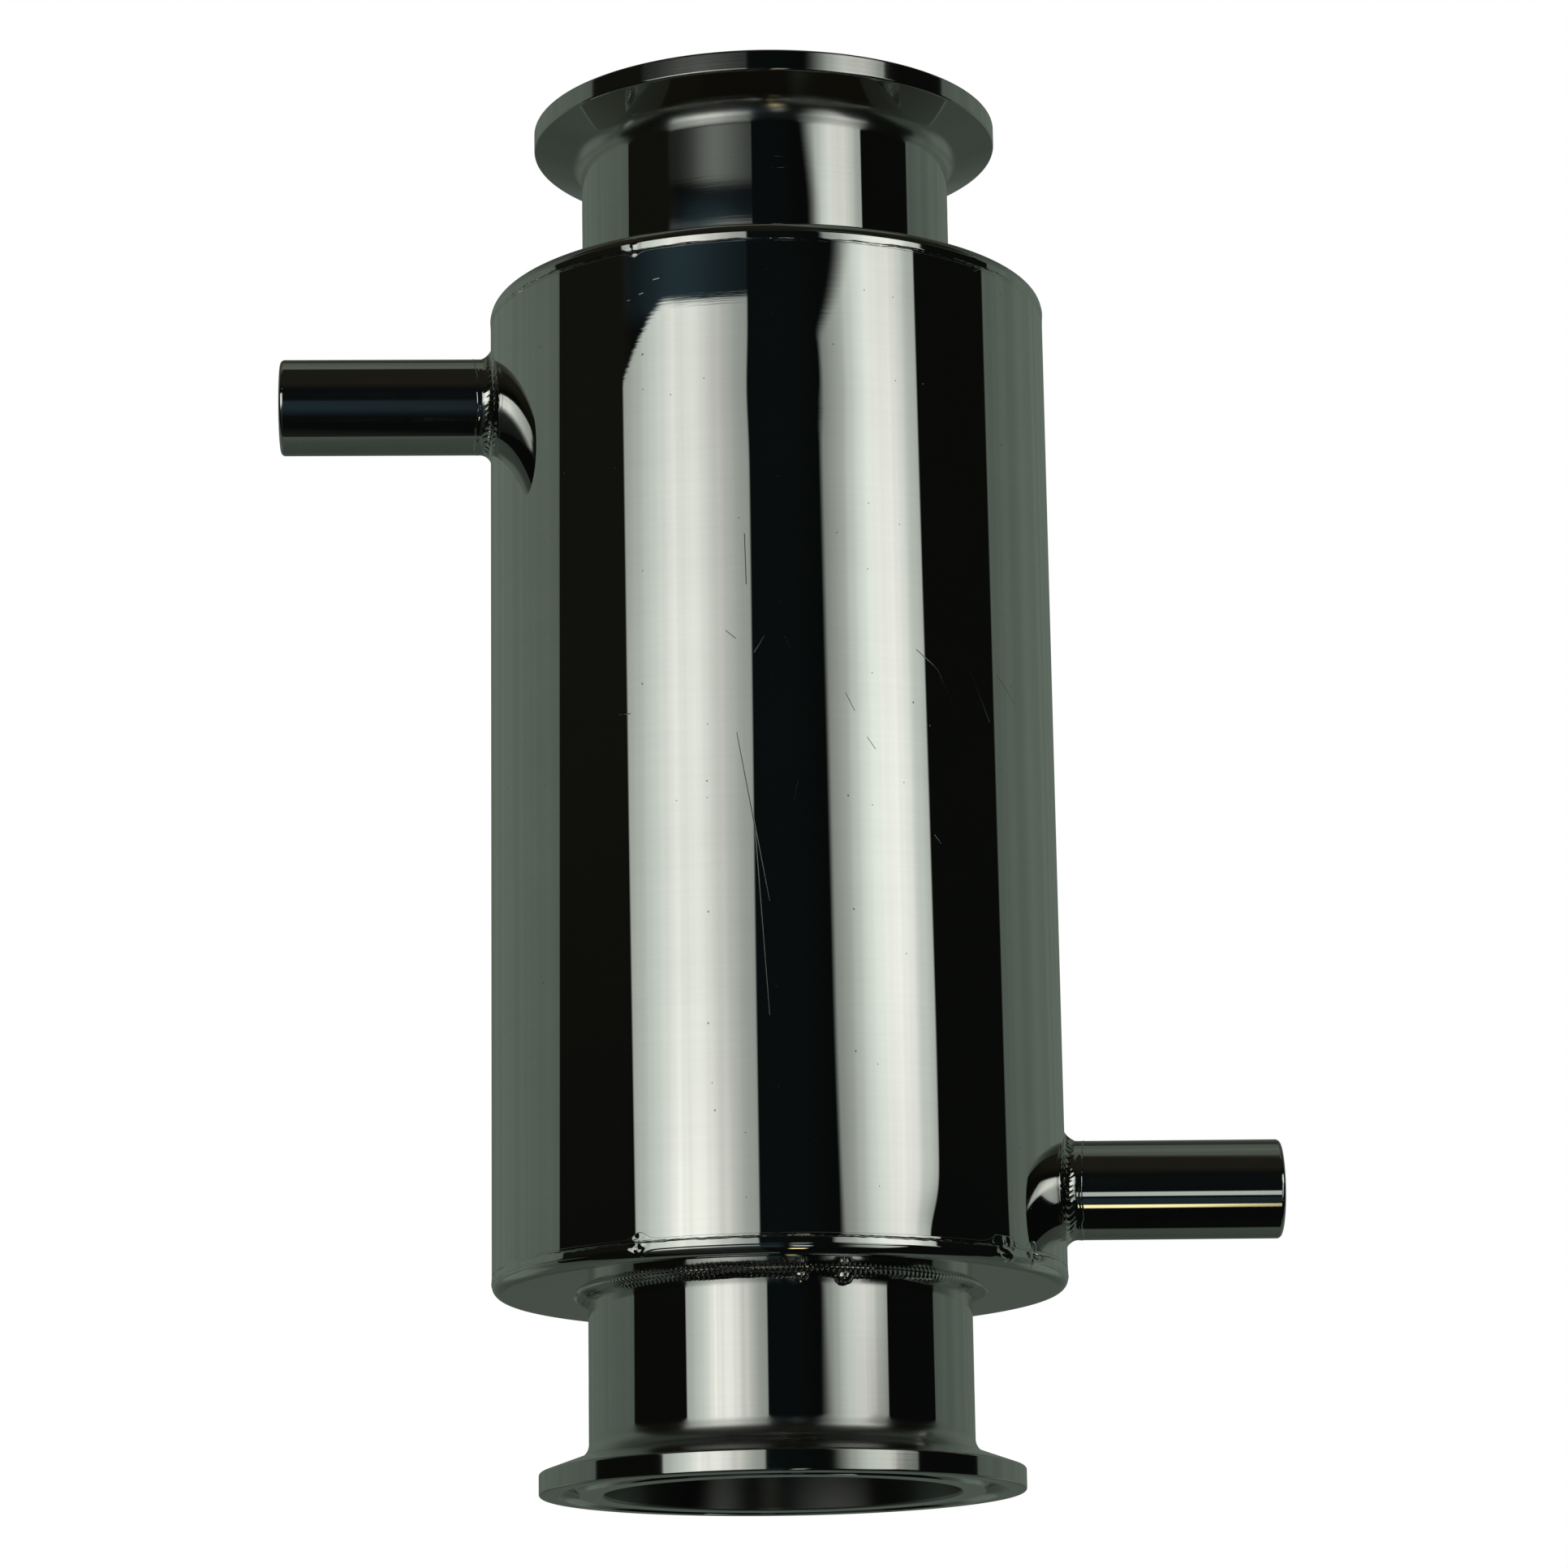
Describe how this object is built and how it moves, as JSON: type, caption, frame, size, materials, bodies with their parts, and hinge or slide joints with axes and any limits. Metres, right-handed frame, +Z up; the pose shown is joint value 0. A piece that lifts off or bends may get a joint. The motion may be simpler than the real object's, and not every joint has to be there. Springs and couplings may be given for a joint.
{
  "type": "jacketed pipe spool",
  "caption": "Jacketed tri-clamp pipe spool: a straight product tube with a clamp ferrule at each end, inside a welded jacket with opposed coolant stubs.",
  "frame": {"origin": "centre of the lower ferrule's flat face, on the bore's axis", "axes": "+Z up the product bore; the stubs lie along X, the upper one pointing to -X and the lower one to +X"},
  "size_m": [0.1338, 0.0764, 0.189],
  "materials": {
    "polished_steel": "mirror-polished stainless steel with faint circumferential polishing marks",
    "weld_bead": "bright rippled weld metal, polished with the rest"
  },
  "bodies": {
    "root": {"inner_tube": "polished_steel", "jacket_shell": "polished_steel", "ferrule_bottom": "polished_steel", "weld_ferrule_bottom": "polished_steel", "end_ring_bottom": "polished_steel", "weld_seam_bottom": "weld_bead", "weld_neck_bottom": "weld_bead", "ferrule_top": "polished_steel", "weld_ferrule_top": "polished_steel", "end_ring_top": "polished_steel", "weld_seam_top": "weld_bead", "weld_neck_top": "weld_bead", "stub_lower": "polished_steel", "weld_stub_lower": "weld_bead", "stub_upper": "polished_steel", "weld_stub_upper": "weld_bead"}
  },
  "joints": []
}
